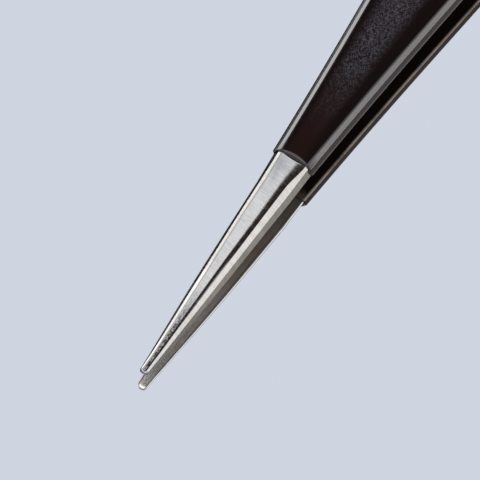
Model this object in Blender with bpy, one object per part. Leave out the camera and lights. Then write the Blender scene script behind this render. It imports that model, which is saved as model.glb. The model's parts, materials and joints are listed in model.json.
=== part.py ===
"""Precision tweezers: two sprung steel leaves, welded together at the tail, with a black grip coat.

Units are metres. +X points to the tips, +Z is the way the leaves open and the tool lies on its
lower leaf. The leaves stand as they do with something small between the tips. Distances along a
leaf are counted from the tip towards the tail, and heights in a leaf from its inner face outwards.
"""

import math

import bmesh
import bpy
from mathutils import Matrix

MM = 0.001

# Lengths along a leaf, from the tip to the tail
JAW_LENGTH = 1.2 * MM        # flat faces that meet when the tips close
NOSE_LENGTH = 6.0 * MM       # finest part of the tip, which widens fastest
BARE_LENGTH = 15.8 * MM      # ground steel in front of the coat
RUNOUT_LENGTH = 1.4 * MM     # where the grinding runs out, just in front of the coat
TAPER_LENGTH = 46.2 * MM     # front edge of the coat to the finger grip
GRIP_LENGTH = 14.0 * MM      # flat stretch under the fingers
BACK_LENGTH = 24.0 * MM      # finger grip to the line where the leaf bends
WEDGE_LENGTH = 4.0 * MM      # bending line to where the leaves lie together
TANG_LENGTH = 15.8 * MM      # welded end
TIP_ROUND = 0.28 * MM        # rounding of the tip's end
TAIL_ROUND = 2.6 * MM        # rounding of the tail's end, seen from above

# Widths of a steel leaf at its inner face
TIP_WIDTH = 0.56 * MM
NOSE_WIDTH = 1.44 * MM       # at the end of the nose
SHOULDER_WIDTH = 2.5 * MM    # at the front edge of the coat
GRIP_WIDTH = 8.9 * MM
BEND_WIDTH = 6.8 * MM
TANG_WIDTH = 6.0 * MM

# Thicknesses of a steel leaf
TIP_THICKNESS = 0.40 * MM
LEAF_THICKNESS = 0.80 * MM
TANG_THICKNESS = 0.75 * MM

# Gaps between the inner steel faces of the two leaves
TIP_GAP = 1.6 * MM
SHOULDER_GAP = 3.3 * MM
GRIP_GAP = 5.0 * MM
BEND_GAP = 0.72 * MM
WELD_GAP = 0.3 * MM

# Cross-section of a leaf: outer bevel, lean of the sides and broken inner edges
LEAF_BEVEL = 0.18 * MM
LEAF_BEVEL_HEIGHT = 0.17 * MM
LEAF_LEAN = 0.25 * MM
LEAF_EDGE = 0.10 * MM

# Cross-section of the ground steel, just in front of the run-out and at the tip
GROUND_BEVEL = 0.36 * MM
GROUND_BEVEL_HEIGHT = 0.30 * MM
GROUND_LEAN = 0.23 * MM
GROUND_HOLLOW = 0.10 * MM    # depth of the hollow grinding across the outer face
TIP_BEVEL = 0.11 * MM
TIP_BEVEL_HEIGHT = 0.13 * MM
TIP_LEAN = 0.05 * MM
TIP_HOLLOW = 0.02 * MM
TIP_EDGE = 0.03 * MM

# Grip coat
COAT_THICKNESS = 0.13 * MM
COAT_CLEARANCE = 0.03 * MM   # between the coat and the steel under it
COAT_LIP = 0.18 * MM         # how far the coat's front edge bows back in the middle

# Bending line and welds
BEND_SLIT = 0.3 * MM         # parts each leaf at its bending line
WELD_COUNT = 3
WELD_PITCH = 3.9 * MM
WELD_RADIUS = 1.1 * MM
WELD_DEPTH = 0.35 * MM       # into each leaf
WELD_CLEARANCE = 0.05 * MM

# How finely the shapes are cut: longest steps along a leaf, steps in a rounded end, sides of a weld
TIP_STEP = 3.4 * MM
RUNOUT_STEP = 0.36 * MM
ARM_STEP = 5.0 * MM
WEDGE_STEP = 1.4 * MM
ROUND_STEPS = 3
WELD_SIDES = 24

# Angles at the small flat ends that are left on the rounded tip and tail
TIP_TURN = math.radians(25)
TAIL_TURN = math.radians(75)

# Points of a leaf's outline: those down one side, and the shares of the face that its middle ones mark
SIDE_POINTS = 5
MIDDLE_SHARES = (0.5, 0.0, -0.5)

# Places along a leaf, counted from the tip
COAT_AT = BARE_LENGTH
GRIP_AT = COAT_AT + TAPER_LENGTH
GRIP_END_AT = GRIP_AT + GRIP_LENGTH
BEND_AT = GRIP_END_AT + BACK_LENGTH
WELD_AT = BEND_AT + WEDGE_LENGTH
TAIL_AT = WELD_AT + TANG_LENGTH
COAT_GROW = COAT_CLEARANCE + COAT_THICKNESS
OVERALL = TAIL_AT + COAT_GROW
HALF_HEIGHT = GRIP_GAP / 2 + LEAF_THICKNESS + COAT_GROW

HALF_WIDTHS = [
    (0, TIP_WIDTH / 2),
    (NOSE_LENGTH, NOSE_WIDTH / 2),
    (COAT_AT, SHOULDER_WIDTH / 2),
    (GRIP_AT, GRIP_WIDTH / 2),
    (GRIP_END_AT, GRIP_WIDTH / 2),
    (BEND_AT, BEND_WIDTH / 2),
    (TAIL_AT, TANG_WIDTH / 2),
]
HALF_GAPS = [
    (JAW_LENGTH, TIP_GAP / 2),
    (COAT_AT, SHOULDER_GAP / 2),
    (GRIP_AT, GRIP_GAP / 2),
    (GRIP_END_AT, GRIP_GAP / 2),
    (BEND_AT, BEND_GAP / 2),
    (WELD_AT, WELD_GAP / 2),
    (TAIL_AT, WELD_GAP / 2),
]
THICKNESSES = [
    (0, TIP_THICKNESS),
    (COAT_AT, LEAF_THICKNESS),
    (GRIP_END_AT, LEAF_THICKNESS),
    (BEND_AT, TANG_THICKNESS),
    (TAIL_AT, TANG_THICKNESS),
]


def read_profile(points, x):
    """A smooth curve through (place, value) points that never overshoots them."""
    if x <= points[0][0]:
        return points[0][1]
    if x >= points[-1][0]:
        return points[-1][1]
    steps = [b[0] - a[0] for a, b in zip(points, points[1:])]
    rises = [(b[1] - a[1]) / h for a, b, h in zip(points, points[1:], steps)]
    slopes = [rises[0]]
    for before, after in zip(rises, rises[1:]):
        same_way = before * after > 0
        slopes.append(2 * before * after / (before + after) if same_way else 0.0)
    slopes.append(rises[-1])
    index = max(i for i, point in enumerate(points[:-1]) if point[0] <= x)
    step = steps[index]
    u = (x - points[index][0]) / step
    start = points[index][1]
    end = points[index + 1][1]
    level = (1 + 2 * u) * (1 - u) ** 2 * start + u * u * (3 - 2 * u) * end
    tilt = u * (1 - u) ** 2 * slopes[index] - u * u * (1 - u) * slopes[index + 1]
    return level + step * tilt


def mix(a, b, share):
    return a + (b - a) * share


def ground_share(x):
    """How far the section at x is the ground one: 1 on the bare steel, 0 under the coat."""
    u = (COAT_AT - x) / RUNOUT_LENGTH
    u = min(max(u, 0.0), 1.0)
    return u * u * (3 - 2 * u)


def leaf_section(x, grow=0.0, shrink=1.0, width_share=1.0):
    """Outline of a leaf at x, as (across, height) points, grown outwards by grow.

    shrink draws the whole section in, for the rounded tip, and width_share only its width, for
    the rounded tail.
    """
    along_tip = math.sqrt(min(x / COAT_AT, 1.0))
    ground = ground_share(x)
    width = read_profile(HALF_WIDTHS, x) * shrink * width_share
    thick = read_profile(THICKNESSES, x) * shrink
    bevel = mix(LEAF_BEVEL, mix(TIP_BEVEL, GROUND_BEVEL, along_tip), ground) * shrink
    drop = mix(LEAF_BEVEL_HEIGHT, mix(TIP_BEVEL_HEIGHT, GROUND_BEVEL_HEIGHT, along_tip), ground) * shrink
    lean = mix(LEAF_LEAN, mix(TIP_LEAN, GROUND_LEAN, along_tip), ground) * shrink
    hollow = mix(0.0, mix(TIP_HOLLOW, GROUND_HOLLOW, along_tip), ground) * shrink
    edge = mix(LEAF_EDGE, mix(TIP_EDGE, LEAF_EDGE, along_tip), ground) * shrink + grow
    lift = read_profile(THICKNESSES, x) * (1 - shrink) / 2

    # A bevel keeps its distance from the steel when the outline grows
    spread = grow * (2 - math.sqrt(2))
    side = width + grow
    top = thick + grow
    face = side - lean - bevel - spread
    turn = edge * (1 - math.sqrt(0.5))
    right = [
        (side - edge, -grow),
        (side - turn, turn - grow),
        (side, edge - grow),
        (side - lean, top - drop - spread),
        (face, top),
    ]
    middle = [(face * share, top - hollow * (1 - share * share)) for share in MIDDLE_SHARES]
    left = [(-across, height) for across, height in reversed(right)]
    return [(across, height + lift) for across, height in right + middle + left]


def pair_section(x, grow, width_share=1.0):
    """Outline round both leaves at x, as (across, height) points about the middle plane."""
    gap = read_profile(HALF_GAPS, x)
    top = gap + read_profile(THICKNESSES, x) + grow
    spread = grow * (2 - math.sqrt(2))
    side = read_profile(HALF_WIDTHS, x) * width_share + grow
    shoulder = top - LEAF_BEVEL_HEIGHT - spread
    face = side - LEAF_LEAN - LEAF_BEVEL - spread
    right = [(face, -top), (side - LEAF_LEAN, -shoulder), (side, -gap - LEAF_EDGE)]
    right += [(across, -height) for across, height in reversed(right)]
    left = [(-across, -height) for across, height in right]
    return right + left


def place(x, across, height):
    """A point of the tool: the box is centred on the origin in X and Y and stands on Z = 0."""
    return (OVERALL / 2 - x, across, HALF_HEIGHT + height)


def leaf_ring(x, side, **section):
    """A leaf's outline at x in place: side is 1 for the upper leaf and -1 for the lower one."""
    gap = read_profile(HALF_GAPS, x)
    return [place(x, across, side * (gap + height)) for across, height in leaf_section(x, **section)]


def steps_between(start, end, longest):
    """Places from start to end, no further apart than longest."""
    count = max(1, math.ceil((end - start) / longest))
    return [mix(start, end, i / count) for i in range(count + 1)]


def tail_places(grow):
    """Places and width shares that round the tail, grown outwards by grow."""
    reach = (TAIL_ROUND + grow) / math.sin(TAIL_TURN)
    start = TAIL_AT - TAIL_ROUND
    angles = [TAIL_TURN * i / ROUND_STEPS for i in range(ROUND_STEPS + 1)]
    return [(start + reach * math.sin(angle), math.cos(angle)) for angle in angles]


def loft(rings, closed=False):
    """A mesh of quads between rings of as many points, capped, or closed from the last to the first."""
    mesh = bmesh.new()
    rows = [[mesh.verts.new(point) for point in ring] for ring in rings]
    count = len(rings[0])
    pairs = list(zip(rows, rows[1:]))
    if closed:
        pairs.append((rows[-1], rows[0]))
    else:
        mesh.faces.new(rows[0])
        mesh.faces.new(rows[-1])
    for near, far in pairs:
        for i in range(count):
            j = (i + 1) % count
            mesh.faces.new((near[i], near[j], far[j], far[i]))
    bmesh.ops.recalc_face_normals(mesh, faces=mesh.faces)
    return mesh


def make_material(name, colour, metallic, roughness):
    material = bpy.data.materials.new(name)
    material.use_nodes = True
    shader = material.node_tree.nodes["Principled BSDF"]
    shader.inputs["Base Color"].default_value = (*colour, 1.0)
    shader.inputs["Metallic"].default_value = metallic
    shader.inputs["Roughness"].default_value = roughness
    return material


def add_piece(name, solid, material, pivot=(0.0, 0.0, 0.0), collection=None):
    """An object for one piece, with its origin at pivot."""
    bmesh.ops.translate(solid, verts=solid.verts, vec=[-value for value in pivot])
    data = bpy.data.meshes.new(name)
    solid.to_mesh(data)
    solid.free()
    data.materials.append(material)
    piece = bpy.data.objects.new(name, data)
    piece.location = pivot
    (collection or parts).objects.link(piece)
    return piece


def bend_pivot(side):
    """The middle of a leaf's thickness at its bending line, where its joint turns."""
    middle = read_profile(HALF_GAPS, BEND_AT) + read_profile(THICKNESSES, BEND_AT) / 2
    return place(BEND_AT, 0.0, side * middle)


def arm_places():
    """Places of the sections from the coat's front edge to the bending line."""
    back = steps_between(GRIP_END_AT, BEND_AT - BEND_SLIT / 2, ARM_STEP)
    return steps_between(COAT_AT, GRIP_AT, ARM_STEP) + back


def tang_places():
    """Places of the sections from the bending line to where the leaves lie together."""
    return steps_between(BEND_AT + BEND_SLIT / 2, WELD_AT, WEDGE_STEP)


def make_blade(name, side):
    """The sprung part of a leaf, from the ground tip to the bending line."""
    rings = []
    for i in range(ROUND_STEPS + 1):
        angle = mix(TIP_TURN, math.pi / 2, i / ROUND_STEPS)
        x = TIP_ROUND * (math.cos(TIP_TURN) - math.cos(angle))
        rings.append(leaf_ring(x, side, shrink=math.sin(angle)))
    runout = COAT_AT - RUNOUT_LENGTH
    places = steps_between(JAW_LENGTH, runout, TIP_STEP)
    places += steps_between(runout, COAT_AT, RUNOUT_STEP)[1:]
    places += arm_places()[1:]
    rings += [leaf_ring(x, side) for x in places]
    return add_piece(name, loft(rings), steel, bend_pivot(side))


def make_arm_coat(name, side):
    """The coat on a blade: a thin sleeve, open at its front edge and at the bending line."""
    outside = [leaf_ring(x, side, grow=COAT_GROW) for x in arm_places()]
    inside = [leaf_ring(x, side, grow=COAT_CLEARANCE) for x in arm_places()]

    # The front edge bows back towards the tail in the middle of the outer face
    front = outside[0]
    for index, share in enumerate(MIDDLE_SHARES, start=SIDE_POINTS):
        x, across, height = front[index]
        front[index] = (x - COAT_LIP * (1 - share * share), across, height)

    solid = loft(outside + inside[::-1], closed=True)
    return add_piece(name, solid, coat, bend_pivot(side))


def weld_places():
    """Middles of the welds, spread about the middle of the tang's straight stretch."""
    middle = (WELD_AT + TAIL_AT - TAIL_ROUND) / 2
    return [middle + (i - (WELD_COUNT - 1) / 2) * WELD_PITCH for i in range(WELD_COUNT)]


def add_round(name, x, grow, collection):
    """An upright round through the middle plane at x: a weld, grown outwards by grow."""
    solid = bmesh.new()
    radius = WELD_RADIUS + grow
    reach = WELD_GAP / 2 + WELD_DEPTH + grow
    middle = place(x, 0.0, 0.0)
    bmesh.ops.create_cone(
        solid, cap_ends=True, segments=WELD_SIDES, radius1=radius, radius2=radius,
        depth=2 * reach, matrix=Matrix.Translation(middle),
    )
    return add_piece(name, solid, weld_steel, middle, collection)


def make_welds():
    """Fused spots that join the tangs, one object each, and the pockets they fill."""
    pockets = []
    for number, x in enumerate(weld_places(), start=1):
        add_round(f"weld_spot_{number}", x, 0.0, parts)
        pocket = add_round(f"weld_pocket_{number}", x, WELD_CLEARANCE, cutters)
        pocket.hide_render = True
        pocket.display_type = "WIRE"
        pockets.append(pocket)
    return pockets


def make_tang(name, side, pockets):
    """The welded end of a leaf, behind its bending line, with a pocket at each weld."""
    rings = [leaf_ring(x, side) for x in tang_places()]
    rings += [leaf_ring(x, side, width_share=share) for x, share in tail_places(0.0)]
    tang = add_piece(name, loft(rings), steel)
    for pocket in pockets:
        cut = tang.modifiers.new(pocket.name, "BOOLEAN")
        cut.operation = "DIFFERENCE"
        cut.object = pocket
    return tang


def make_tail_coat(name):
    """The coat over both tangs: a cup that is open at the bending line."""
    def rings(grow):
        outlines = [(x, pair_section(x, grow)) for x in tang_places()]
        outlines += [(x, pair_section(x, grow, share)) for x, share in tail_places(grow)]
        return [[place(x, across, height) for across, height in outline] for x, outline in outlines]

    solid = loft(rings(COAT_GROW)[::-1] + rings(COAT_CLEARANCE))
    return add_piece(name, solid, coat)


for leftover in list(bpy.data.objects):
    bpy.data.objects.remove(leftover)

parts = bpy.data.collections.new("precision_tweezers")
cutters = bpy.data.collections.new("weld_cutters")
bpy.context.scene.collection.children.link(parts)
bpy.context.scene.collection.children.link(cutters)

steel = make_material("brushed_steel", (0.63, 0.62, 0.60), 1.0, 0.32)
weld_steel = make_material("weld_steel", (0.42, 0.41, 0.40), 1.0, 0.45)
coat = make_material("black_coat", (0.020, 0.017, 0.018), 0.0, 0.48)

weld_pockets = make_welds()
for leaf, leaf_side in (("upper", 1), ("lower", -1)):
    make_blade(f"{leaf}_blade", leaf_side)
    make_tang(f"{leaf}_tang", leaf_side, weld_pockets)
    make_arm_coat(f"{leaf}_grip_coat", leaf_side)
make_tail_coat("tail_coat")
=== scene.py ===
"""Precision tweezers with bare ground steel tips and a black grip coat, in soft studio light."""

import json
import math

import bmesh
import bpy
import numpy as np
from mathutils import Matrix, Vector


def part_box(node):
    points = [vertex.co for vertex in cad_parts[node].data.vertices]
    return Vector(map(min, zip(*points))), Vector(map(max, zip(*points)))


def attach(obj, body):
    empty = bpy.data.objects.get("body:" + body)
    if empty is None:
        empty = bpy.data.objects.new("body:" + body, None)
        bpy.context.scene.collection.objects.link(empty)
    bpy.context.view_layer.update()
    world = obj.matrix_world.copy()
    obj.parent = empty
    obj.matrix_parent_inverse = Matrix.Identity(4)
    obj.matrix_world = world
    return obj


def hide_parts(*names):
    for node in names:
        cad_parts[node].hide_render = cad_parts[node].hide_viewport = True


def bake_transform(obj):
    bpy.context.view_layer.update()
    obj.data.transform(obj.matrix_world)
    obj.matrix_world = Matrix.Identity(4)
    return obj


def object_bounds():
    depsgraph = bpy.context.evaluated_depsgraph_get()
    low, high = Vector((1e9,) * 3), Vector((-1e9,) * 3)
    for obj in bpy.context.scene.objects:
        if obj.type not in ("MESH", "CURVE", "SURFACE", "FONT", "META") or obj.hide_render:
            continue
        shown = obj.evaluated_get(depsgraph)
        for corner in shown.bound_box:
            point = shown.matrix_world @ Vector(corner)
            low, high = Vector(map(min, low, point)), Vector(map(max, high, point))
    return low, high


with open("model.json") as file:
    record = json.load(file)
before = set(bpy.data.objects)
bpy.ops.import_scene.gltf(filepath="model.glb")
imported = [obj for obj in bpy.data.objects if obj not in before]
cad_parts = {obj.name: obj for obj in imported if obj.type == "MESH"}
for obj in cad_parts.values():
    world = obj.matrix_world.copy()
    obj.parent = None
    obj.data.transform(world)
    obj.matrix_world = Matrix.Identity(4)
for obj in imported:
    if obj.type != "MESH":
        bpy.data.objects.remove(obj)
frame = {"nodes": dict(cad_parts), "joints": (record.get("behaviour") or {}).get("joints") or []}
cad_low, cad_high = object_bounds()


# The two blades: the front of each leaf, from its tip to the line where it bends, of stainless spring
# steel. A hollow face and two bevels are ground on the outside and brushed across, and the tips are
# dressed by hand. Each blade is one blank with the tang behind it.

MM = 0.001
TIP_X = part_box("upper_blade")[1].x
MIDDLE_Z = (cad_low.z + cad_high.z) / 2

# Places along a leaf, counted from its tip
JAW_AT = 1.2 * MM
FINE_AT = 4.0 * MM
NOSE_AT = 6.0 * MM
MIDWAY_AT = 8.0 * MM
BROAD_AT = 11.7 * MM
COAT_AT = TIP_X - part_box("upper_grip_coat")[1].x
GRIP_AT = COAT_AT + 46.2 * MM
GRIP_END_AT = GRIP_AT + 14.0 * MM
BLADE_END_AT = TIP_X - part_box("upper_blade")[0].x
BEND_AT = TIP_X - frame["joints"][0]["pos_m"][0]
WELD_AT = BEND_AT + 4.0 * MM
TAIL_AT = TIP_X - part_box("upper_tang")[0].x
RUNOUT_LENGTH = 2.0 * MM

# The leaf as it lies, by place: half its width, half the gap to the other leaf, and its thickness
TIP_ROUND = 0.28 * MM
GRIP_HALF_WIDTH = 4.45 * MM
HALF_WIDTHS = [
    (0.0, TIP_ROUND), (NOSE_AT, 0.72 * MM), (COAT_AT, 1.25 * MM), (GRIP_AT, GRIP_HALF_WIDTH),
    (GRIP_END_AT, GRIP_HALF_WIDTH), (BEND_AT, 3.4 * MM), (TAIL_AT, 3.0 * MM)]
HALF_GAPS = [
    (JAW_AT, 0.8 * MM), (COAT_AT, 1.65 * MM), (GRIP_AT, 2.5 * MM), (GRIP_END_AT, 2.5 * MM),
    (BEND_AT, 0.36 * MM), (WELD_AT, 0.15 * MM), (TAIL_AT, 0.15 * MM)]
THICKNESSES = [
    (0.0, 0.40 * MM), (COAT_AT, 0.80 * MM), (GRIP_END_AT, 0.80 * MM), (BEND_AT, 0.75 * MM),
    (TAIL_AT, 0.75 * MM)]

# The section at the tip, on the ground steel in front of the coat and under the coat: the width and
# fall of a bevel, the lean of a side, and the cuts along the inner face and up the side at its foot
SECTION = {
    "bevel": (0.065 * MM, 0.36 * MM, 0.18 * MM),
    "drop": (0.045 * MM, 0.25 * MM, 0.17 * MM),
    "lean": (0.045 * MM, 0.20 * MM, 0.25 * MM),
    "edge": (0.05 * MM, 0.20 * MM, 0.14 * MM),
    "rise": (0.03 * MM, 0.10 * MM, 0.08 * MM),
}

# The rounding of the outer corners and how much crisper it is on the right side, and at the feet how
# far they flare, how straight they are cut and how far the inner face is kept flat beside them
STEEL_ROUND = 0.025 * MM
RIGHT_CRISPNESS = 0.6
FOOT_FLARE = 0.25
FOOT_STRAIGHTNESS = 0.6
FOOT_MARGIN = 2.5

# The uneven hand grinding, by place: the depth of the hollow, and how far shoulders and ridges shift
HOLLOWS = [
    (0.0, 0.015 * MM), (3.5 * MM, 0.045 * MM), (5.8 * MM, 0.080 * MM), (MIDWAY_AT, 0.103 * MM),
    (BROAD_AT, 0.069 * MM), (COAT_AT, 0.075 * MM)]
RIGHT_RIDGES_IN = [
    (2.0 * MM, 0.0), (FINE_AT, 0.050 * MM), (MIDWAY_AT, 0.060 * MM), (BROAD_AT, 0.070 * MM),
    (COAT_AT, 0.10 * MM)]
LEFT_SHOULDERS_IN = [
    (0.0, 0.0), (FINE_AT, 0.05 * MM), (MIDWAY_AT, 0.05 * MM), (BROAD_AT, 0.01 * MM), (COAT_AT, 0.0)]
RIGHT_SHOULDER_IN = 0.07 * MM
LEFT_RIDGE_OUT = 0.11 * MM
LEFT_RIDGE_OUT_AT = 12.0 * MM

# How far each blade sits to the right at its tip and where its grinding runs out
TIP_SETS = {"upper": -0.05 * MM, "lower": 0.02 * MM}
RUNOUT_SETS = {"upper": 0.05 * MM, "lower": 0.09 * MM}


def smooth_run(along, knots):
    """Values on a smooth curve through (place, value) knots that never overshoots them."""
    places, values = np.array(knots).T
    steps = np.diff(places)
    rises = np.diff(values) / steps
    before, after = rises[:-1], rises[1:]
    turning = np.where(before * after > 0, before + after, np.inf)
    slopes = np.concatenate([rises[:1], 2 * before * after / turning, rises[-1:]])
    along = np.clip(along, places[0], places[-1])
    i = np.clip(np.searchsorted(places, along, side="right") - 1, 0, len(steps) - 1)
    u = (along - places[i]) / steps[i]
    level = (1 + 2 * u) * (1 - u) ** 2 * values[i] + u * u * (3 - 2 * u) * values[i + 1]
    tilt = u * (1 - u) ** 2 * slopes[i] - u * u * (1 - u) * slopes[i + 1]
    return level + steps[i] * tilt


def smooth_step(value, low, high):
    """Rises smoothly from 0 to 1 as a value goes from low to high."""
    share = np.clip((value - low) / (high - low), 0, 1)
    return share ** 2 * (3 - 2 * share)


def leaf_sizes(along, shrink=1.0):
    """Sizes of a leaf's section at places along it, drawn in by shrink at the rounded tip."""
    ground = 1 - smooth_step(along, COAT_AT - RUNOUT_LENGTH, COAT_AT)
    hollow_ground = 1 - smooth_step(along, COAT_AT, COAT_AT + RUNOUT_LENGTH)
    along_tip = np.sqrt(np.clip(along / COAT_AT, 0, 1))
    thickness = smooth_run(along, THICKNESSES)
    ridge_out = smooth_step(along, NOSE_AT, LEFT_RIDGE_OUT_AT)
    sizes = {
        "half_width": smooth_run(along, HALF_WIDTHS) * shrink,
        "thickness": thickness * shrink,
        "half_gap": smooth_run(along, HALF_GAPS) + thickness * (1 - shrink) / 2,
        "hollow": smooth_run(along, HOLLOWS) * hollow_ground * shrink,
        "shoulder_in": RIGHT_SHOULDER_IN * smooth_step(along, 0.0, MIDWAY_AT) * ground,
        "ridge_in": smooth_run(along, RIGHT_RIDGES_IN) * ground,
        "left_shoulder_in": smooth_run(along, LEFT_SHOULDERS_IN),
        "ridge_out": LEFT_RIDGE_OUT * ridge_out * ground,
    }
    for name, (tip, bare, coated) in SECTION.items():
        bare_here = tip + (bare - tip) * along_tip
        sizes[name] = (coated + (bare_here - coated) * ground) * shrink
    return sizes


def make_rail(name, along, sizes):
    """A line of points along a leaf, each of which carries the sizes of the section there."""
    mesh = bpy.data.meshes.new(name)
    edges = [(i, i + 1) for i in range(len(along) - 1)]
    mesh.from_pydata([(TIP_X - x, 0.0, 0.0) for x in along], edges, [])
    for size, values in {"place": TIP_X - along, **sizes}.items():
        carried = mesh.attributes.new(size, "FLOAT", "POINT")
        carried.data.foreach_set("value", np.broadcast_to(values, len(along)).astype(np.float32))
    rail = bpy.data.objects.new(name, mesh)
    bpy.context.scene.collection.objects.link(rail)
    return rail


class Wire:
    """A socket of a node tree. Operators on it add Math nodes, and add() any other node."""

    def __init__(self, socket):
        self.socket = socket

    @staticmethod
    def add(tree, kind, settings=(), sockets=(), output=0):
        """Adds a node of a kind: its settings first, then the values or links of its sockets."""
        node = tree.nodes.new(kind)
        for name, value in dict(settings).items():
            setattr(node, name, value)
        for name, value in dict(sockets).items():
            if isinstance(value, Wire):
                tree.links.new(value.socket, node.inputs[name])
            else:
                node.inputs[name].default_value = value
        return Wire(node.outputs[output])

    @staticmethod
    def math(operation, *values):
        """Adds a Math node on values, at least one of which is a wire."""
        tree = next(value.socket.id_data for value in values if isinstance(value, Wire))
        return Wire.add(tree, "ShaderNodeMath", {"operation": operation}, enumerate(values))

    def __add__(self, other):
        return Wire.math("ADD", self, other)

    def __sub__(self, other):
        return Wire.math("SUBTRACT", self, other)

    def __rsub__(self, other):
        return Wire.math("SUBTRACT", other, self)

    def __mul__(self, other):
        return Wire.math("MULTIPLY", self, other)

    def __truediv__(self, other):
        return Wire.math("DIVIDE", self, other)

    def __rtruediv__(self, other):
        return Wire.math("DIVIDE", other, self)

    def __pow__(self, other):
        return Wire.math("POWER", self, other)

    def __abs__(self):
        return Wire.math("ABSOLUTE", self)

    __radd__ = __add__
    __rmul__ = __mul__


# The swept section has seven corners. Each has so many points, and its first and last ones lie on the
# flats beside it, as far from its rounding as the flat share says.
CORNERS = 7
MIDDLE_CORNER = CORNERS // 2
CORNER_POINTS = 9
FLAT_SHARE = 0.2
MERGE_DISTANCE = 1e-8

# A foot turns from 0 on the inner face to 1 on the side. These are the turns where the inner face and
# the cut foot end, and the turns of lines along the foot with their reach to both sides, on which the
# materials paint highlight and shade lines.
INNER_TO = 0.05
CHAMFER_TO = 0.9
INNER_LINE = (-0.025, 0.175)
BRIGHT_LINE = (0.38, 0.33)
SIDE_LINE = (1.05, 0.15)


def leaf_point(tree, corner_points, flat, side_up, middle_height):
    """Where a point of the swept section lies, and the marks that tell the materials what it is on."""

    def size(name):
        return Wire.add(
            tree, "GeometryNodeInputNamedAttribute", {"data_type": "FLOAT"}, {"Name": name})

    # Foot, shoulder and ridge of the right side, the middle of the face, then the left side downwards
    spot = size("spot")
    corner = Wire.math("FLOOR", (spot + 0.5) / corner_points)
    phase = (spot - corner * corner_points) / (corner_points - 1)
    on_left = Wire.math("GREATER_THAN", corner, MIDDLE_CORNER + 0.5)
    on_right = 1 - on_left
    hand = 1 - on_left * 2
    turn = phase + on_left * (1 - phase * 2)
    level = MIDDLE_CORNER - abs(corner - MIDDLE_CORNER)
    at_corner = [Wire.math("COMPARE", level, float(k), 0.1) for k in range(MIDDLE_CORNER + 1)]
    at_foot, at_shoulder, at_ridge, at_middle = at_corner

    def pick(values):
        """The value for the corner that a point belongs to: foot, shoulder, ridge or middle."""
        first, *others = [value * here for value, here in zip(values, at_corner)]
        return sum(others, first)

    grow = size("grow")
    lean = size("lean") + size("shoulder_in") * on_right + size("left_shoulder_in") * on_left
    bevel = size("bevel") - (size("ridge_out") + size("left_shoulder_in")) * on_left
    bevel = bevel + (size("ridge_in") - size("shoulder_in")) * on_right
    side = size("half_width") + grow
    top = size("thickness") + grow
    bottom = grow * -1
    shoulder = top - size("drop")
    face = side - lean - bevel
    foot = side + size("edge") * FOOT_FLARE
    belly = top - size("hollow") * 2

    # Each corner's place, the ways to the corners before and after it, and its share of them
    across = pick([foot, side - lean, face, 0.0])
    height = pick([bottom, shoulder, top, belly])
    to_before = pick([foot * -1, foot, side - lean, face]) - across
    up_before = pick([bottom, bottom, shoulder, top]) - height
    to_after = pick([side - lean, face, 0.0, face * -1]) - across
    up_after = pick([shoulder, top, belly, top]) - height
    rounding = size("round") * (1 - on_right * size("crisp"))
    face_run = (face * face + (top - belly) ** 2) ** 0.5
    bow = face_run - size("round") * (1.5 + flat * 2)
    before = pick([size("edge"), rounding, rounding, bow])
    before = before / (to_before ** 2 + up_before ** 2) ** 0.5
    after = pick([size("rise"), rounding, rounding, bow])
    after = after / (to_after ** 2 + up_after ** 2) ** 0.5

    # The points on the flats keep these flat. The feet are cut as straight as their straightness says,
    # and the other corners are curves.
    overrun = flat * (1 - at_middle)
    turn = turn * (1 + overrun * 2) - overrun
    bend = Wire.math("MINIMUM", Wire.math("MAXIMUM", turn, 0.0), 1.0)
    unbent = 1 - bend
    before_flat = Wire.math("MAXIMUM", bend - turn, 0.0) * (2 + at_foot * size("margin"))
    after_flat = Wire.math("MAXIMUM", turn - bend, 0.0) * 2
    straight = at_foot * size("straight")
    before = before * (unbent * (unbent + straight * bend) + before_flat)
    after = after * (bend * (bend + straight * unbent) + after_flat)
    across = across + to_before * before + to_after * after
    height = height + up_before * before + up_after * after

    end_top = size("end_lean") + size("end_bevel")
    x = size("place") - size("lip") * at_middle * (1 - (across / face) ** 2)
    x = x + pick([0.0, size("end_lean"), end_top, end_top])
    y = across * hand + size("sideways")
    z = middle_height + side_up * (size("half_gap") + height)
    position = Wire.add(tree, "ShaderNodeCombineXYZ", sockets={"X": x, "Y": y, "Z": z})

    def foot_line(place, reach):
        """1 on a line along a foot, and less beside it."""
        return at_foot * (1 - Wire.math("MINIMUM", abs(turn - place) / reach, 1.0))

    on_inner = at_foot * Wire.math("LESS_THAN", turn, INNER_TO)
    on_foot = at_foot * (1 - on_inner)
    marks = {
        "on_face": at_middle * (1 - size("front")),
        "on_inner": on_inner,
        "on_side": on_foot + at_shoulder * Wire.math("LESS_THAN", turn, 0.5),
        "across": across * hand / face,
        "inner_edge": foot_line(*INNER_LINE),
        "on_chamfer": on_foot * Wire.math("LESS_THAN", turn, CHAMFER_TO),
        "bright_edge": foot_line(*BRIGHT_LINE),
        "side_edge": foot_line(*SIDE_LINE) * on_right,
        "left_ridge": at_ridge * on_left,
    }
    return position, marks


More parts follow.
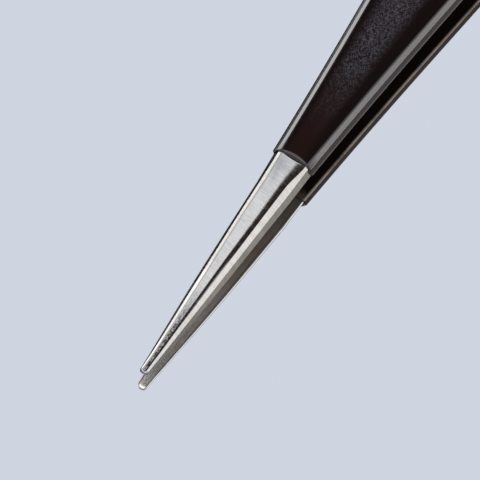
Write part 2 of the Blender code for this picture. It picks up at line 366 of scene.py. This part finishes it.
def leaf_sweep():
    """A tree that sweeps a leaf's section along a rail: seven corners, each rounded by a curve."""
    tree = bpy.data.node_groups.new("leaf_sweep", "GeometryNodeTree")
    for socket, kind in (
            ("Geometry", "Geometry"), ("Side", "Float"), ("Middle Height", "Float"),
            ("Corner Points", "Int"), ("Flat Share", "Float"), ("Capped", "Bool"),
            ("Finish", "Material")):
        tree.interface.new_socket(socket, in_out="INPUT", socket_type=f"NodeSocket{kind}")
    tree.interface.new_socket("Geometry", in_out="OUTPUT", socket_type="NodeSocketGeometry")
    start = tree.nodes.new("NodeGroupInput")
    given = {socket.name: Wire(socket) for socket in start.outputs if socket.name}

    def keep(geometry, name, value):
        """Stores a value on each point under a name."""
        return Wire.add(
            tree, "GeometryNodeStoreNamedAttribute", {"data_type": "FLOAT", "domain": "POINT"},
            {"Geometry": geometry, "Name": name, "Value": value})

    # The ring that is swept has as many points for each corner, numbered from the right foot
    ring = Wire.add(
        tree, "GeometryNodeCurvePrimitiveCircle", {"mode": "RADIUS"},
        {"Resolution": given["Corner Points"] * CORNERS})
    ring = keep(ring, "spot", Wire.add(tree, "GeometryNodeInputIndex"))
    rail = Wire.add(tree, "GeometryNodeMeshToCurve", sockets={"Mesh": given["Geometry"]})
    tube = Wire.add(
        tree, "GeometryNodeCurveToMesh",
        sockets={"Curve": rail, "Profile Curve": ring, "Fill Caps": given["Capped"]})
    position, marks = leaf_point(
        tree, given["Corner Points"], given["Flat Share"], given["Side"], given["Middle Height"])
    tube = Wire.add(
        tree, "GeometryNodeSetPosition", sockets={"Geometry": tube, "Position": position})
    for name, value in marks.items():
        tube = keep(tube, name, value)
    tube = Wire.add(tree, "GeometryNodeSetShadeSmooth", sockets={"Geometry": tube})
    tube = Wire.add(tree, "GeometryNodeRealizeInstances", sockets={"Geometry": tube})
    tube = Wire.add(
        tree, "GeometryNodeSetMaterial", sockets={"Geometry": tube, "Material": given["Finish"]})
    tree.links.new(tube.socket, tree.nodes.new("NodeGroupOutput").inputs["Geometry"])
    return tree


sweep_tree = leaf_sweep()


def sweep(rail, side, finish, capped):
    """Sweeps a rail's section and keeps the result as a plain mesh, with its faces outwards."""
    modifier = rail.modifiers.new("sweep", "NODES")
    modifier.node_group = sweep_tree
    inputs = {item.name: item.identifier for item in sweep_tree.interface.items_tree
              if item.in_out == "INPUT"}
    modifier[inputs["Side"]] = float(side)
    modifier[inputs["Middle Height"]] = MIDDLE_Z
    modifier[inputs["Corner Points"]] = CORNER_POINTS
    modifier[inputs["Flat Share"]] = FLAT_SHARE
    modifier[inputs["Capped"]] = capped
    modifier[inputs["Finish"]] = finish
    shape = rail.evaluated_get(bpy.context.evaluated_depsgraph_get())
    mesh = bpy.data.meshes.new_from_object(shape)
    name = rail.name
    bpy.data.objects.remove(rail)
    solid = bmesh.new()
    solid.from_mesh(mesh)
    bmesh.ops.remove_doubles(solid, verts=solid.verts, dist=MERGE_DISTANCE)
    bmesh.ops.recalc_face_normals(solid, faces=solid.faces)
    solid.to_mesh(mesh)
    solid.free()
    piece = bpy.data.objects.new(name, mesh)
    bpy.context.scene.collection.objects.link(piece)
    return piece


def new_material(name, shader_values):
    """A material, its node tree and its shader, with the values that are the same all over."""
    material = bpy.data.materials.new(name)
    material.use_nodes = True
    tree = material.node_tree
    shader = tree.nodes["Principled BSDF"]
    for socket, value in shader_values.items():
        shader.inputs[socket].default_value = value
    return material, tree, shader


def grain(tree, spacing, detail=2.0, seed=0.0, turn=0.0):
    """Noise from 0 to 1 on the object's own coordinates: spacing in metres, turn about Z in degrees."""
    spot = Wire.add(tree, "ShaderNodeTexCoord", output="Object")
    spot = Wire.add(
        tree, "ShaderNodeMapping", {"vector_type": "TEXTURE"},
        {"Vector": spot, "Location": [seed * step for step in spacing],
         "Rotation": (0, 0, math.radians(turn)), "Scale": spacing})
    return Wire.add(
        tree, "ShaderNodeTexNoise", {"noise_dimensions": "3D"},
        {"Vector": spot, "Scale": 1.0, "Detail": detail, "Roughness": 0.55})


def blend_colours(tree, share, first, second):
    """A colour between two others. A Mix node keeps its colours on the sockets 6, 7 and 2."""
    return Wire.add(
        tree, "ShaderNodeMix", {"data_type": "RGBA"}, {0: share, 6: first, 7: second}, output=2)


def layer_colours(tree, colour, layers):
    """A colour with others laid over it in turn, each by its share."""
    for share, shade in layers:
        colour = blend_colours(tree, share, colour, shade)
    return colour


def ramp(value, low, high):
    """Rises smoothly from 0 to 1 as a value goes from low to high."""
    return Wire.add(
        value.socket.id_data, "ShaderNodeMapRange", {"interpolation_type": "SMOOTHSTEP"},
        {"Value": value, "From Min": low, "From Max": high})


def attribute(tree, name):
    """A value that the piece's mesh carries."""
    return Wire.add(tree, "ShaderNodeAttribute", {"attribute_name": name}, output="Fac")


def along_leaf(tree):
    """Distance from the tips, in metres."""
    spot = Wire.add(tree, "ShaderNodeTexCoord", output="Object")
    x = Wire.add(tree, "ShaderNodeSeparateXYZ", sockets={"Vector": spot}, output="X")
    return TIP_X - x


def relief_normal(tree, relief, strength, depth):
    """The normals of a surface with a fine relief, its depth in metres."""
    return Wire.add(
        tree, "ShaderNodeBump", sockets={"Strength": strength, "Distance": depth, "Height": relief},
        output="Normal")


def feed(shader, values):
    """Links what changes over the surface to the shader."""
    for socket, value in values.items():
        value.socket.id_data.links.new(value.socket, shader.inputs[socket])


# The finish: the spacing of its lines, swathes and pits along and across, and where they lie
BRUSH_LINES = (0.045 * MM, 0.55 * MM, 0.55 * MM)
BRUSH_SWATHES = (0.5 * MM, 1.6 * MM, 1.6 * MM)
BRUSH_DEPTH = 0.004 * MM
TIP_PITS = (0.13 * MM, 0.10 * MM, 0.10 * MM)
PITTED_TO = 2.5 * MM
PITS_END_AT = 7.0 * MM
GAP_SHADE_AT = 6.5 * MM
GAP_SHADE_FULL_AT = 12.0 * MM
SHADE_LENGTH = 0.8 * MM

STEEL_DARK = (0.20, 0.182, 0.165, 1)
STEEL_LIGHT = (0.82, 0.80, 0.77, 1)
PIT_DARK = (0.05, 0.044, 0.039, 1)
PIT_LIGHT = (0.42, 0.40, 0.38, 1)
INNER_STEEL = (0.80, 0.76, 0.71, 1)
GAP_SHADE_STEEL = (0.53, 0.445, 0.365, 1)
SHADED_STEEL = (0.03, 0.022, 0.016, 1)
CHAMFER_SHADE = (0.06, 0.055, 0.05, 1)
CHAMFER_HIGHLIGHT = (0.97, 0.95, 0.92, 1)
INNER_EDGE_SHADE = (0.10, 0.08, 0.065, 1)
RIDGE_SHADE = (0.26, 0.24, 0.22, 1)


def ground_steel():
    """Steel brushed across the leaf: pitted and greyer outside at the tip, with painted shade on the
    inner face and painted highlight and shade lines along its edges.
    """
    material, tree, shader = new_material("ground_steel", {"Metallic": 1.0})
    face = attribute(tree, "on_face")
    inner = attribute(tree, "on_inner")
    along = along_leaf(tree)
    lines = grain(tree, BRUSH_LINES, detail=3.0)
    swathes = grain(tree, BRUSH_SWATHES, seed=3.0)
    pits = grain(tree, TIP_PITS, seed=7.0)
    dressed = face + attribute(tree, "on_side") * 0.5
    worn = (1 - ramp(along, PITTED_TO, PITS_END_AT)) * dressed
    # Painted shade between the leaves: the inner face grows darker and browner towards the coat, and
    # almost black under the coat's front.
    gap_shade = inner * (0.1 + ramp(along, GAP_SHADE_AT, GAP_SHADE_FULL_AT) * 0.8)
    shaded = inner * ramp(along + (pits - 0.5) * SHADE_LENGTH, COAT_AT, COAT_AT + SHADE_LENGTH)

    polish = 0.66 + (lines - 0.5) * (0.5 + face * 0.3) + (swathes - 0.5) * 0.35
    brushed = blend_colours(tree, polish, STEEL_DARK, STEEL_LIGHT)
    pitted = blend_colours(tree, (pits - 0.5) * 5.0 + 0.42, PIT_DARK, PIT_LIGHT)
    # Painted lines along the inner edge: the chamfer painted dark, a painted highlight along it and a
    # painted dark line where it meets the inner face. A painted dark line follows the left ridge.
    colour = layer_colours(tree, brushed, (
        (worn, pitted), (inner, INNER_STEEL), (gap_shade, GAP_SHADE_STEEL), (shaded, SHADED_STEEL),
        (attribute(tree, "on_chamfer") * 0.9, CHAMFER_SHADE),
        (attribute(tree, "bright_edge") * 1.5, CHAMFER_HIGHLIGHT),
        (attribute(tree, "inner_edge") * 0.9, INNER_EDGE_SHADE),
        (attribute(tree, "left_ridge") ** 4 * 0.4, RIDGE_SHADE)))
    roughness = 0.15 + (lines - 0.5) * 0.15 + (swathes - 0.5) * 0.08 + worn * 0.12 + inner * 0.16
    relief = lines * (0.4 + face * 0.6) + worn * pits * 2.0
    feed(shader, {
        "Base Color": colour, "Roughness": roughness,
        "Normal": relief_normal(tree, relief, strength=0.3, depth=BRUSH_DEPTH)})
    return material


def spaced(start, *stretches):
    """Places from a start through stretches, each with its end and about the step between places."""
    places = [start]
    for end, step in stretches:
        count = max(1, math.ceil((end - start) / step))
        places.extend(np.linspace(start, end, count + 1)[1:])
        start = end
    return np.array(places)


TIP_TURN = math.radians(12)
TIP_RINGS = 9
tip_angles = np.linspace(TIP_TURN, math.pi / 2, TIP_RINGS)
tip_places = TIP_ROUND * (math.cos(TIP_TURN) - np.cos(tip_angles))
blade_places = np.concatenate([
    tip_places[:-1],
    spaced(
        tip_places[-1], (JAW_AT, 0.15 * MM), (COAT_AT - RUNOUT_LENGTH, 0.25 * MM),
        (COAT_AT, 0.07 * MM), (BLADE_END_AT, 2.0 * MM)),
])
blade_shrink = np.ones(len(blade_places))
blade_shrink[:TIP_RINGS] = np.sin(tip_angles)
blade_sizes = leaf_sizes(blade_places, blade_shrink)
blade_sizes.update(
    grow=0.0, lip=0.0, front=0.0, end_lean=0.0, end_bevel=0.0, round=STEEL_ROUND * blade_shrink,
    crisp=RIGHT_CRISPNESS, straight=FOOT_STRAIGHTNESS, margin=FOOT_MARGIN)

steel = ground_steel()
for leaf, side in (("upper", 1), ("lower", -1)):
    blade_sizes["sideways"] = np.interp(
        blade_places, (0, COAT_AT - RUNOUT_LENGTH, COAT_AT), (TIP_SETS[leaf], RUNOUT_SETS[leaf], 0))
    rail = make_rail(f"{leaf}_ground_blade", blade_places, blade_sizes)
    blade = sweep(rail, side, steel, capped=True)
    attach(blade, f"{leaf}_arm")
    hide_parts(f"{leaf}_blade")


# The tangs and their weld spots: the plain back ends of the steel leaves, rolled and left as they are.
# Three spots fuse the two tangs to each other, and the coat covers them.

ROLLING_LINES = (3.0 * MM, 0.12 * MM, 0.12 * MM)
MILL_DARK = (0.42, 0.41, 0.40, 1)
MILL_LIGHT = (0.60, 0.59, 0.58, 1)
FUSED_DARK = (0.20, 0.19, 0.18, 1)
FUSED_LIGHT = (0.46, 0.44, 0.42, 1)


def plain_steel(name, dark, light, roughness):
    """Dull steel as it comes off the mill, with faint rolling lines along the leaf."""
    material, tree, shader = new_material(name, {"Metallic": 1.0})
    lines = grain(tree, ROLLING_LINES, detail=3.0)
    feed(shader, {
        "Base Color": blend_colours(tree, lines, dark, light),
        "Roughness": roughness + (lines - 0.5) * 0.2})
    return material


mill_steel = plain_steel("mill_steel", MILL_DARK, MILL_LIGHT, roughness=0.38)
fused_steel = plain_steel("fused_steel", FUSED_DARK, FUSED_LIGHT, roughness=0.48)
for node, finish in (
        ("upper_tang", mill_steel), ("lower_tang", mill_steel), ("weld_spot_1", fused_steel),
        ("weld_spot_2", fused_steel), ("weld_spot_3", fused_steel)):
    surface = frame["nodes"][node].data
    surface.materials.clear()
    surface.materials.append(finish)


# The coat: a black satin film baked on the leaves behind their ground tips, one cup over each leaf.
# Its front edge is cut nearly straight at the steel and bows back a little on top, and its long edges
# are worn to the steel on the inside, painted as a light line that is partly a painted highlight.

# The film on the steel, and its own section outside
COAT_CLEARANCE = 0.03 * MM
COAT_GROW = COAT_CLEARANCE + 0.13 * MM
COAT_WIDEN = 0.105 * MM
COAT_CROWN = 0.10 * MM
COAT_LEAN = 0.39 * MM
COAT_BEVEL = 0.224 * MM
COAT_DROP = 0.309 * MM
COAT_SHOULDER_IN = -0.05 * MM
COAT_EDGE = 0.40 * MM
COAT_RISE = 0.47 * MM
COAT_ROUND = 0.04 * MM
SEAM_EDGE = 0.14 * MM

# Its front edge, and how far each leaf's sits to the right and back
FRONT_ROUND = 0.05 * MM
FRONT_LIP = 0.17 * MM
FRONT_BOW = 0.05 * MM
FRONT_REACH = 2.0 * MM
FRONT_RINGS = 5
FRONT_SETS = {"upper": -0.01 * MM, "lower": 0.07 * MM}
FRONT_SET_BACKS = {"upper": 0.08 * MM, "lower": 0.16 * MM}

# Its closed tail, and the stretch over which it bends with the leaf
TAIL_ROUND = 2.6 * MM
TAIL_LEAN = 0.10 * MM
TAIL_BEVEL = 0.06 * MM
TAIL_TURN = math.radians(86)
TAIL_RINGS = 14

# Its finish: the spacing of the grain, where fingers hold it and it is given a painted sheen, where its
# inner front is worn and painted as steel in shade, and how far that strays
PEBBLES = (0.08 * MM, 0.08 * MM, 0.08 * MM)
SCUFFS = (0.22 * MM, 0.05 * MM, 0.2 * MM)
SCUFF_TURN = 35
CROSSED_TURN = -50
CLOUDS = (2.2 * MM, 1.5 * MM, 1.5 * MM)
PEBBLE_DEPTH = 0.012 * MM
HELD_SHEEN_AT = COAT_AT + 1.5 * MM
HELD_SHEEN_FULL_AT = COAT_AT + 9.5 * MM
HELD_SHEEN_STRAY = 4.0 * MM
WORN_SHADE_TO = COAT_AT + 0.2 * MM
WORN_SHADE_END_AT = COAT_AT + 0.9 * MM
WORN_SHADE_STRAY = 1.2 * MM

FILM_DARK = (0.0165, 0.0045, 0.0036, 1)
FILM_LIGHT = (0.0245, 0.0076, 0.0062, 1)
FACE_MARGIN_SHADE = (0.003, 0.0012, 0.0012, 1)
PAINTED_SHEEN = (0.055, 0.058, 0.080, 1)
INSIDE_SHADE_FILM = (0.001, 0.0005, 0.0004, 1)
FRONT_STEEL_IN_SHADE = (0.075, 0.06, 0.05, 1)
WORN_EDGE_HIGHLIGHT = (0.55, 0.46, 0.39, 1)
SIDE_FOOT_HIGHLIGHT = (0.12, 0.12, 0.122, 1)


def satin_coat():
    """Brown-black film: a dull pebbled face, glossier where fingers hold it and given a painted sheen
    there, with painted shade at its margins and inside, painted highlight lines along its edges, and
    glossy edges.
    """
    material, tree, shader = new_material(
        "satin_coat",
        {"Metallic": 0.0, "Specular IOR Level": 0.08, "Coat Roughness": 0.14, "Coat IOR": 1.7})
    face = attribute(tree, "on_face")
    inner = attribute(tree, "on_inner")
    across = attribute(tree, "across")
    along = along_leaf(tree)
    cloud = grain(tree, CLOUDS, seed=5.0)
    scuffs = grain(tree, SCUFFS, seed=2.0, turn=SCUFF_TURN)
    crossed_scuffs = grain(tree, SCUFFS, seed=4.0, turn=CROSSED_TURN)
    pebble = grain(tree, PEBBLES) * 0.3 + scuffs * 0.35 + crossed_scuffs * 0.35
    # Where fingers hold the face it is glossier. It also gets a painted sheen: speckles of bluish grey
    # that stand for a reflection of the light behind.
    held_and_sheen = ramp(along + (cloud - 0.5) * HELD_SHEEN_STRAY, HELD_SHEEN_AT, HELD_SHEEN_FULL_AT)
    held_and_sheen = held_and_sheen * face * (1 - ramp(abs(across + 0.15), 0.30, 0.80))
    sheen_speckles = held_and_sheen * ramp(pebble, 0.45, 0.60)
    # Painted shade: the face is darkened towards both its long edges.
    margin = face * ramp(abs(across + 0.12), 0.35, 0.85)
    # A ragged strip at the front of the inside, worn to the steel, painted in the dull brown of steel
    # in shade.
    bare = inner * (1 - ramp(along + (pebble - 0.5) * WORN_SHADE_STRAY, WORN_SHADE_TO, WORN_SHADE_END_AT))
    # Along the inner edges, worn to the steel: a beige line that is partly a painted highlight, fading
    # out between the grip and the bend.
    worn_edge_highlight = attribute(tree, "inner_edge") * ramp(cloud * 0.5 + pebble * 0.5, 0.25, 0.55)
    worn_edge_highlight = worn_edge_highlight * (1 - ramp(along, GRIP_AT, BEND_AT))

    film = blend_colours(tree, cloud, FILM_DARK, FILM_LIGHT)
    # Laid over the film: the inside is painted near black as shade between the leaves, and a painted
    # pale highlight line runs along the right foot of the side.
    colour = layer_colours(tree, film, (
        (margin * 0.75, FACE_MARGIN_SHADE), (sheen_speckles, PAINTED_SHEEN), (inner * 0.8, INSIDE_SHADE_FILM),
        (bare, FRONT_STEEL_IN_SHADE), (worn_edge_highlight, WORN_EDGE_HIGHLIGHT), (attribute(tree, "side_edge") * 0.8, SIDE_FOOT_HIGHLIGHT)))
    gloss = (1 - face) * (1 - inner) * (1 - attribute(tree, "on_chamfer") * 0.6) + sheen_speckles * 0.6
    relief = pebble * (0.1 + face * 0.9)
    feed(shader, {
        "Base Color": colour, "Roughness": 0.46 + (pebble - 0.5) * 0.2, "Coat Weight": gloss,
        "Normal": relief_normal(tree, relief, strength=0.5, depth=PEBBLE_DEPTH)})
    return material


def coat_places(grow):
    """Places along one face of the film, from its front edge round the tail.

    With them come the share of the section that is left at each place, and how far it has turned
    round the tail, both from 0 to 1.
    """
    straight = spaced(
        COAT_AT + FRONT_ROUND, (GRIP_AT, 0.8 * MM), (GRIP_END_AT, 3.5 * MM), (WELD_AT, 0.7 * MM),
        (TAIL_AT - TAIL_ROUND, 2.0 * MM))
    angles = np.linspace(0, TAIL_TURN, TAIL_RINGS + 1)[1:]
    places = np.concatenate([straight, np.full(TAIL_RINGS + 1, TAIL_AT - TAIL_ROUND)])
    shares = np.concatenate([np.ones(len(straight)), np.cos(angles), [0]])
    ends = np.concatenate([np.zeros(len(straight)), np.sin(angles), [1]])
    return places + (TAIL_ROUND + grow) * ends, shares, ends


# The film's rail runs forward along its inner face, over its front edge and back along its outer face
inner_places, inner_shares, inner_ends = coat_places(COAT_CLEARANCE)
outer_places, outer_shares, outer_ends = coat_places(COAT_GROW)
front_angles = np.linspace(0, math.pi / 2, FRONT_RINGS + 1)[:-1]
front_places = np.concatenate([[COAT_AT], COAT_AT + FRONT_ROUND * (1 - np.cos(front_angles))])
front_grow = np.concatenate(
    [[COAT_CLEARANCE], COAT_GROW - FRONT_ROUND * (1 - np.sin(front_angles))])
front_start = len(inner_places)
front_end = front_start + len(front_places)
film_places = np.concatenate([inner_places[::-1], front_places, outer_places])
film_shares = np.concatenate([inner_shares[::-1], np.ones(len(front_places)), outer_shares])
film_ends = np.concatenate([inner_ends[::-1], np.zeros(len(front_places)), outer_ends])
film_grow = np.concatenate([
    np.full(len(inner_places), COAT_CLEARANCE), front_grow, np.full(len(outer_places), COAT_GROW)])
film_lip = np.zeros(len(film_places))
front_rise = (front_grow - COAT_CLEARANCE) / (COAT_GROW - COAT_CLEARANCE)
film_lip[front_start:front_end] = FRONT_LIP * front_rise - FRONT_BOW * (1 - front_rise)
film_lip[front_end] = FRONT_LIP
film_front = np.zeros(len(film_places))
film_front[front_start + 1:front_end] = 1.0

# The outer face has its own section, and the inner face keeps clear of the steel's
outer = np.arange(len(film_places)) > front_start
film_sizes = leaf_sizes(film_places)
half_width = film_sizes["half_width"] + np.where(outer, COAT_WIDEN, 0)
half_width = half_width - (TAIL_ROUND + film_grow) * (1 - film_shares)
half_width = np.where(film_shares > 0, half_width, -film_grow)
crown = COAT_CROWN * (half_width + film_grow) / GRIP_HALF_WIDTH
closed = smooth_step(film_places, GRIP_END_AT, WELD_AT)
coat_edge = COAT_EDGE + (SEAM_EDGE - COAT_EDGE) * closed
coat_rise = COAT_RISE + (SEAM_EDGE - COAT_RISE) * closed
spread = film_grow * (2 - math.sqrt(2))
film_sizes.update(
    half_width=half_width,
    hollow=np.where(outer, -crown, film_sizes["hollow"]),
    drop=np.where(outer, COAT_DROP, film_sizes["drop"] + spread),
    lean=np.where(outer, COAT_LEAN, film_sizes["lean"]) * film_shares,
    bevel=np.where(outer, COAT_BEVEL, film_sizes["bevel"] + spread) * film_shares,
    edge=np.where(outer, coat_edge, film_sizes["edge"] + film_grow) * film_shares,
    rise=np.where(outer, coat_rise, film_sizes["rise"] + film_grow),
    shoulder_in=np.where(outer, COAT_SHOULDER_IN, 0) * film_shares,
    ridge_in=0.0, ridge_out=0.0, left_shoulder_in=0.0,
    end_lean=np.where(outer, TAIL_LEAN, 0) * film_ends,
    end_bevel=np.where(outer, TAIL_BEVEL, 0) * film_ends,
    grow=film_grow, lip=film_lip, front=film_front, round=COAT_ROUND * film_shares,
    crisp=0.0, straight=1.0, margin=0.0)
near_front = np.clip((COAT_AT + FRONT_REACH - film_places) / FRONT_REACH, 0, 1)
before_grip = np.clip((GRIP_AT - film_places) / (GRIP_AT - COAT_AT), 0, 1)

coat = satin_coat()
for leaf, side in (("upper", 1), ("lower", -1)):
    film_sizes["sideways"] = FRONT_SETS[leaf] * before_grip
    rail = make_rail(f"{leaf}_coat", film_places + FRONT_SET_BACKS[leaf] * near_front, film_sizes)
    film = sweep(rail, side, coat, capped=False)
    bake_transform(film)
    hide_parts(f"{leaf}_grip_coat", "tail_coat")


# The studio: a pale floor well below the tool, a broad light overhead, low lights on both sides and two
# small ones in front and behind. Black and grey cards give the polished faces something dark to mirror.
# The lights and the cards are out of the camera's sight.

BACKGROUND = (0.652, 0.695, 0.776, 1)
ROOM_SHADE = 0.45
FLOOR_Z = -0.12
FLOOR_RADIUS = 5.0
FLOOR_GLOW = 0.9
FLOOR_MOTTLE = (0.4, 0.4, 0.4)
FLOOR_DARK = (0.60, 0.64, 0.72, 1)
FLOOR_LIGHT = (0.66, 0.70, 0.78, 1)
STUDIO_CENTRE = Vector((TIP_X - 14 * MM, 0, MIDDLE_Z))


def pale_floor():
    """Matt pale card that shows mostly its own even colour to the camera and a soft shadow."""
    material, tree, shader = new_material("pale_floor", {"Roughness": 0.9})
    mottle = grain(tree, FLOOR_MOTTLE, detail=1.0)
    feed(shader, {"Base Color": blend_colours(tree, mottle, FLOOR_DARK, FLOOR_LIGHT)})
    seen = Wire.add(tree, "ShaderNodeLightPath", output="Is Camera Ray")
    glow = Wire.add(tree, "ShaderNodeEmission", sockets={"Color": BACKGROUND, "Strength": 1.0})
    mixed = Wire.add(
        tree, "ShaderNodeMixShader",
        sockets={0: seen * FLOOR_GLOW, 1: Wire(shader.outputs["BSDF"]), 2: glow})
    tree.links.new(mixed.socket, tree.nodes["Material Output"].inputs["Surface"])
    return material


floor_mesh = bpy.data.meshes.new("floor")
disc = bmesh.new()
bmesh.ops.create_circle(disc, cap_ends=True, segments=64, radius=FLOOR_RADIUS)
bmesh.ops.translate(disc, verts=disc.verts, vec=(0, 0, FLOOR_Z))
disc.to_mesh(floor_mesh)
disc.free()
floor_mesh.materials.append(pale_floor())
floor = bpy.data.objects.new("floor", floor_mesh)
bpy.context.scene.collection.objects.link(floor)

# The room is dim to light the tool, and as pale as the background where it is seen or mirrored
world = bpy.data.worlds.new("studio")
bpy.context.scene.world = world
world.use_nodes = True
sky = world.node_tree
room = sky.nodes["Background"]
room.inputs["Color"].default_value = BACKGROUND
room.inputs["Strength"].default_value = ROOM_SHADE
backdrop = Wire.add(sky, "ShaderNodeBackground", sockets={"Color": BACKGROUND, "Strength": 1.0})
rays = sky.nodes.new("ShaderNodeLightPath").outputs
seen = Wire(rays["Is Camera Ray"]) + Wire(rays["Is Glossy Ray"]) + Wire(rays["Is Transmission Ray"])
both = Wire.add(
    sky, "ShaderNodeMixShader", sockets={0: seen, 1: Wire(room.outputs["Background"]), 2: backdrop})
sky.links.new(both.socket, sky.nodes["World Output"].inputs["Surface"])


def aim(azimuth, elevation):
    """A direction in degrees: azimuth from the tips' way round to the right side, elevation up."""
    swing, rise = math.radians(azimuth), math.radians(elevation)
    return Vector((
        math.cos(rise) * math.cos(swing), math.cos(rise) * math.sin(swing), math.sin(rise)))


def place_in_studio(thing, direction, distance):
    """Hangs a light or card at a distance from the tips, square to them, out of the camera's sight."""
    thing.location = STUDIO_CENTRE + direction * distance
    thing.rotation_euler = direction.to_track_quat("Z", "Y").to_euler()
    thing.visible_camera = False
    bpy.context.scene.collection.objects.link(thing)


def softbox(name, direction, distance, width, height, radiance, colour=(1, 1, 1)):
    """An area light that is as bright as radiance all over."""
    data = bpy.data.lights.new(name, "AREA")
    data.shape = "RECTANGLE"
    data.size = width
    data.size_y = height
    data.energy = radiance * math.pi * width * height
    data.color = colour
    place_in_studio(bpy.data.objects.new(name, data), direction, distance)


def card(name, direction, distance, width, height, shade):
    """A card of one even shade that only polished faces see."""
    material, tree, _ = new_material(name, {})
    glow = Wire.add(tree, "ShaderNodeEmission", sockets={"Color": (*shade, 1), "Strength": 1.0})
    tree.links.new(glow.socket, tree.nodes["Material Output"].inputs["Surface"])
    sheet = bmesh.new()
    bmesh.ops.create_grid(sheet, x_segments=1, y_segments=1, size=0.5)
    bmesh.ops.scale(sheet, verts=sheet.verts, vec=(width, height, 1))
    mesh = bpy.data.meshes.new(name)
    sheet.to_mesh(mesh)
    sheet.free()
    mesh.materials.append(material)
    flag = bpy.data.objects.new(name, mesh)
    place_in_studio(flag, direction, distance)
    flag.visible_diffuse = False
    flag.visible_shadow = False


softbox(
    "overhead", aim(87, 82.9), distance=0.4535, width=0.394, height=0.5625, radiance=0.39,
    colour=(1.0, 0.98, 0.95))
softbox(
    "left_panel", aim(-115, -1.5), distance=0.40, width=0.55, height=0.25, radiance=1.10,
    colour=(1.0, 0.97, 0.92))
softbox("left_strip", aim(-117, -22), distance=0.25, width=0.55, height=0.034, radiance=2.15)
softbox(
    "right_panel", aim(115, 24), distance=0.40, width=0.55, height=0.22, radiance=0.53,
    colour=(1.0, 0.92, 0.78))
softbox("right_strip", aim(117, 2.5), distance=0.38, width=0.55, height=0.045, radiance=2.8)
softbox("front_panel", aim(-12, 46), distance=0.45, width=0.35, height=0.20, radiance=1.3)
softbox("sheen_panel", aim(-158.6, 58), distance=0.42, width=0.09, height=0.05, radiance=1.0)
card(
    "left_flag", aim(-115.5, 44.5), distance=0.35, width=0.60, height=0.255,
    shade=(0.032, 0.024, 0.019))
card(
    "rear_flag", aim(-175, 44.5), distance=0.46, width=0.60, height=0.26,
    shade=(0.012, 0.008, 0.008))
card(
    "left_low_flag", aim(-115, -44.5), distance=0.10, width=0.40, height=0.065,
    shade=(0.02, 0.019, 0.02))
card(
    "right_low_card", aim(115, -23), distance=0.20, width=0.40, height=0.098,
    shade=(0.38, 0.37, 0.345))


# The camera: a long lens that looks down on the tips from above and a little in front of them. It is
# turned so that they point down and to the left.

SIGHT_AZIMUTH = math.radians(109.530)
SIGHT_ELEVATION = math.radians(62.216)
SIGHT_ROLL = math.radians(14.061)
SIGHT_DISTANCE = 0.26
SIGHT_POINT = Vector((TIP_X - 10.874 * MM, -0.214 * MM, MIDDLE_Z - 0.068 * MM))
PIXELS_PER_METRE = 17373.0
IMAGE_SIZE = 480
SENSOR = 36.0

back = Vector((
    math.sin(SIGHT_AZIMUTH) * math.cos(SIGHT_ELEVATION),
    -math.cos(SIGHT_AZIMUTH) * math.cos(SIGHT_ELEVATION),
    math.sin(SIGHT_ELEVATION)))
level = Vector((math.cos(SIGHT_AZIMUTH), math.sin(SIGHT_AZIMUTH), 0.0))
upright = back.cross(level)
right = level * math.cos(SIGHT_ROLL) + upright * math.sin(SIGHT_ROLL)
up = upright * math.cos(SIGHT_ROLL) - level * math.sin(SIGHT_ROLL)

lens_data = bpy.data.cameras.new("camera")
lens_data.sensor_width = SENSOR
lens_data.lens = SENSOR * PIXELS_PER_METRE * SIGHT_DISTANCE / IMAGE_SIZE
lens_data.clip_start = 0.01
lens_data.clip_end = 20.0
camera = bpy.data.objects.new("camera", lens_data)
camera.matrix_world = Matrix((right, up, back)).transposed().to_4x4()
camera.location = SIGHT_POINT + back * SIGHT_DISTANCE
bpy.context.scene.collection.objects.link(camera)
bpy.context.scene.camera = camera
bpy.context.scene.view_settings.view_transform = "Standard"
